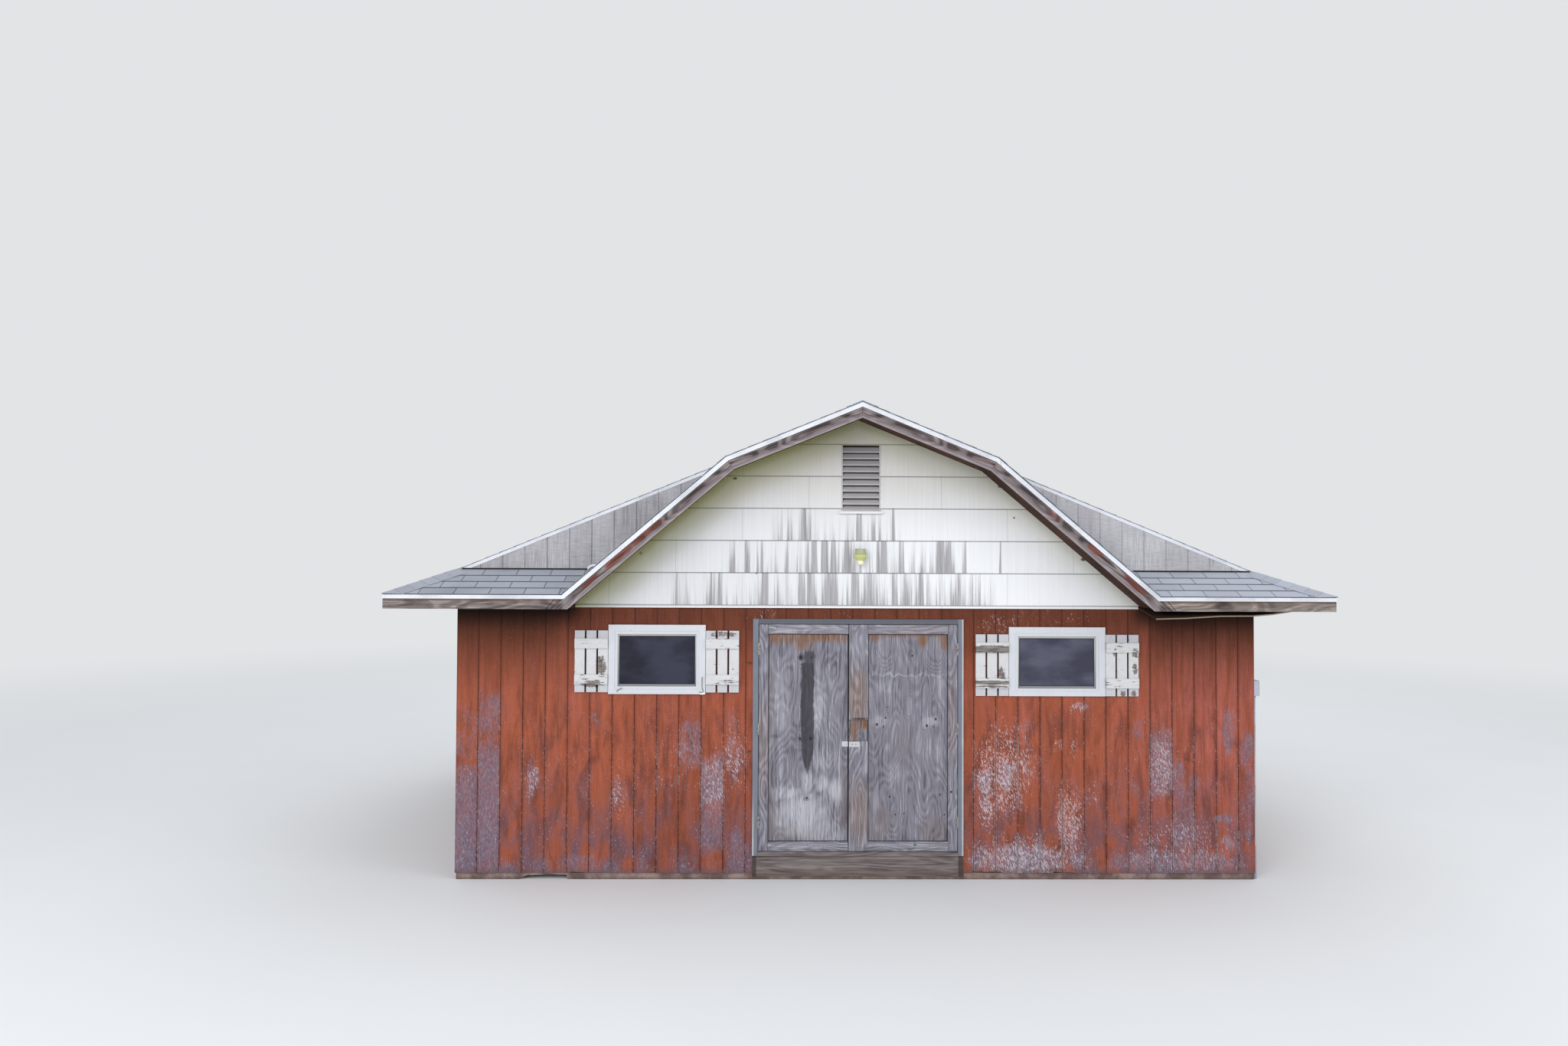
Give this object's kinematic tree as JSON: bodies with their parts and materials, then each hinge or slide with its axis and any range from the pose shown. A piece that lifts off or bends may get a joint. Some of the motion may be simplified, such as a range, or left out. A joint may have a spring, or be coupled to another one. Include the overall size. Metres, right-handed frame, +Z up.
{
  "type": "frame barn",
  "caption": "Low frame barn: grooved red siding, front gable under a gambrel canopy, hipped eave skirts, louvred vent, shuttered windows and a double plank door that opens.",
  "frame": {"origin": "on the ground under the middle of the whole building's box", "axes": "+X to the right seen from the front, +Y from the front towards the rear along the ridge, +Z up"},
  "size_m": [8.337, 6.629, 4.3049],
  "materials": {
    "rough_concrete": "rough, pinkish grey",
    "framing_lumber": "bare sawn softwood",
    "weathered_sill": "weathered grey board",
    "red_siding": "old red stain, worn to grey",
    "bare_plywood": "bare weathered plywood",
    "white_lap_panels": "white paint, peeled in streaks",
    "grey_louvres": "worn grey paint",
    "lamp_enamel": "yellowed glaze",
    "asphalt_shingles": "mineral grit, grey",
    "weathered_fascia": "grey wood with remains of red stain",
    "dark_soffit": "dark weathered board",
    "white_drip_metal": "white coated sheet",
    "blue_grey_frame": "worn blue-grey paint",
    "white_casing": "white paint",
    "window_screen": "dark glass behind mesh",
    "chipped_shutters": "white paint, chipped to bare wood",
    "grey_conduit": "pale grey plastic",
    "grey_door_wood": "bare silver-grey grained wood",
    "hinge_steel": "rusty steel",
    "hasp_steel": "galvanised, dull"
  },
  "bodies": {
    "barn": {"foundation": "rough_concrete", "floor_joists": "framing_lumber", "floor_deck": "framing_lumber", "door_sill": "weathered_sill", "siding_front_left": "red_siding", "siding_front_right": "red_siding", "siding_over_door": "red_siding", "siding_left": "red_siding", "siding_right": "red_siding", "siding_rear": "red_siding", "front_gable_wall": "bare_plywood", "gable_panels": "white_lap_panels", "gable_vent": "grey_louvres", "porch_light": "lamp_enamel", "frame_front_left": "framing_lumber", "frame_front_right": "framing_lumber", "frame_over_door": "framing_lumber", "frame_left": "framing_lumber", "frame_right": "framing_lumber", "frame_rear": "framing_lumber", "gable_studs": "framing_lumber", "rafters_left": "framing_lumber", "rafters_right": "framing_lumber", "ridge_board": "framing_lumber", "roof_left": "asphalt_shingles", "roof_right": "asphalt_shingles", "skirt_left": "asphalt_shingles", "skirt_right": "asphalt_shingles", "canopy_roof": "asphalt_shingles", "canopy_fascia": "weathered_fascia", "canopy_soffit": "dark_soffit", "eave_fascia_left": "weathered_fascia", "eave_fascia_right": "weathered_fascia", "rear_rake_boards": "weathered_fascia", "soffit_left": "dark_soffit", "soffit_right": "dark_soffit", "drip_edges": "white_drip_metal", "door_frame": "blue_grey_frame", "window_left": "white_casing", "window_right": "white_casing", "screen_left": "window_screen", "screen_right": "window_screen", "shutters_left": "chipped_shutters", "shutters_right": "chipped_shutters", "outlet_and_conduit": "grey_conduit", "jamb_hinge_leaves": "hinge_steel"},
    "left_door": {"left_door_panel": "grey_door_wood", "left_door_boards": "grey_door_wood", "left_door_hinges": "hinge_steel", "hasp_plate": "hasp_steel"},
    "right_door": {"right_door_panel": "grey_door_wood", "right_door_boards": "grey_door_wood", "right_door_hinges": "hinge_steel", "hasp_strap": "hasp_steel"}
  },
  "joints": [
    {"name": "left_door_hinge", "type": "hinge", "parent": "barn", "child": "left_door", "pos_m": [-0.9035, -2.8225, 0.262], "axis": [0, 0, -1], "range_deg": [0, 120]},
    {"name": "right_door_hinge", "type": "hinge", "parent": "barn", "child": "right_door", "pos_m": [0.9195, -2.8225, 0.262], "axis": [0, 0, 1], "range_deg": [0, 120]}
  ]
}
